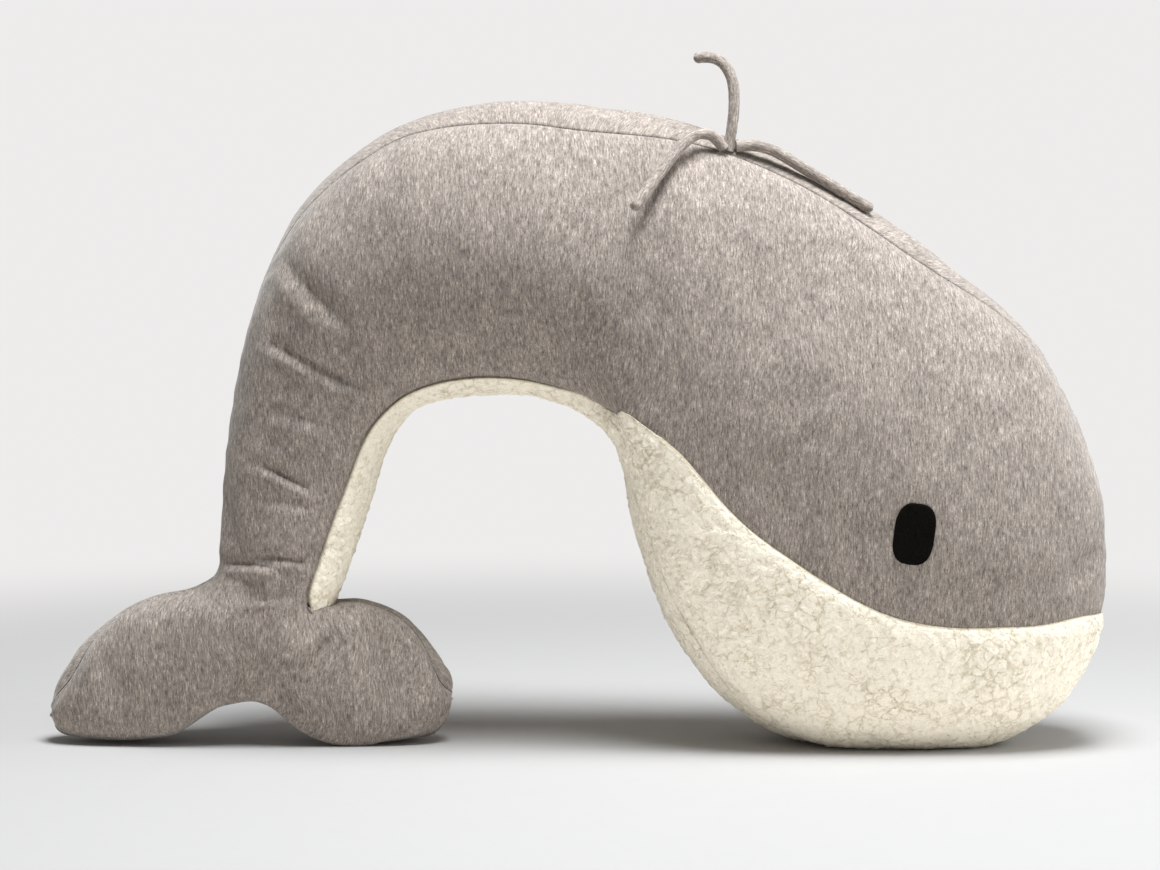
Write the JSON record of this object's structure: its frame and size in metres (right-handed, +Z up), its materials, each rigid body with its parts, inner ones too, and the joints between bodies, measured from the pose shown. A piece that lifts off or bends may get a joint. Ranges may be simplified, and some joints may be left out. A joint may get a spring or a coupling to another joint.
{
  "type": "whale nursing pillow",
  "caption": "Stuffed nursing pillow in the shape of a whale that arches over an open waist, with jersey sides, a sherpa belly, a tail fluke and a cord spout.",
  "frame": {"origin": "centre of the body's footprint, on the surface that the pillow stands on", "axes": "+X to the nose, +Y away from the side that the picture shows, +Z up"},
  "size_m": [0.7212, 0.1754, 0.4679],
  "materials": {
    "jersey_grey": "soft grey melange cotton jersey with a fine nap",
    "sherpa_cream": "cream sherpa pile in small curls",
    "felt_black": "dead black felt",
    "thread_grey": "matt grey sewing thread",
    "thread_cream": "matt cream sewing thread",
    "fibre_white": "white polyester fibre stuffing"
  },
  "bodies": {
    "whale": {"front_side_panel": "jersey_grey", "back_side_panel": "jersey_grey", "front_belly_panel": "sherpa_cream", "back_belly_panel": "sherpa_cream", "top_seam_thread": "thread_grey", "keel_seam_thread": "thread_cream", "front_belly_seam_thread": "thread_cream", "back_belly_seam_thread": "thread_cream", "front_eye_patch": "felt_black", "back_eye_patch": "felt_black", "fill_head": "fibre_white", "fill_back": "fibre_white", "fill_shoulder": "fibre_white"},
    "tail": {"fill_tail": "fibre_white", "fill_fluke_left": "fibre_white", "fill_fluke_right": "fibre_white"},
    "left_cord": {"spout_cord_left": "jersey_grey"},
    "middle_cord": {"spout_cord_middle": "jersey_grey"},
    "right_cord": {"spout_cord_right": "jersey_grey"}
  },
  "joints": [
    {"name": "tail_flex", "type": "hinge", "parent": "whale", "child": "tail", "pos_m": [-0.181, 0, 0.218], "axis": [0, 1, 0], "range_deg": [-12, 25], "stiffness_Nm_per_rad": 15, "deforming": ["front_side_panel", "back_side_panel", "front_belly_panel", "back_belly_panel", "top_seam_thread", "keel_seam_thread", "front_belly_seam_thread", "back_belly_seam_thread", "fill_shoulder"]},
    {"name": "spout_left_flop", "type": "hinge", "parent": "whale", "child": "left_cord", "pos_m": [0.0972, -0.0361, 0.4053], "axis": [-0.6331, 0.7741, 0], "range_deg": [0, 50], "stiffness_Nm_per_rad": 0.04},
    {"name": "spout_middle_flop", "type": "hinge", "parent": "whale", "child": "middle_cord", "pos_m": [0.1024, -0.0306, 0.4044], "axis": [0.866, 0.5, 0], "range_deg": [-3, 25], "stiffness_Nm_per_rad": 0.04},
    {"name": "spout_right_flop", "type": "hinge", "parent": "whale", "child": "right_cord", "pos_m": [0.1103, -0.0303, 0.4048], "axis": [0.08, -0.9968, 0], "range_deg": [0, 60], "stiffness_Nm_per_rad": 0.04}
  ]
}
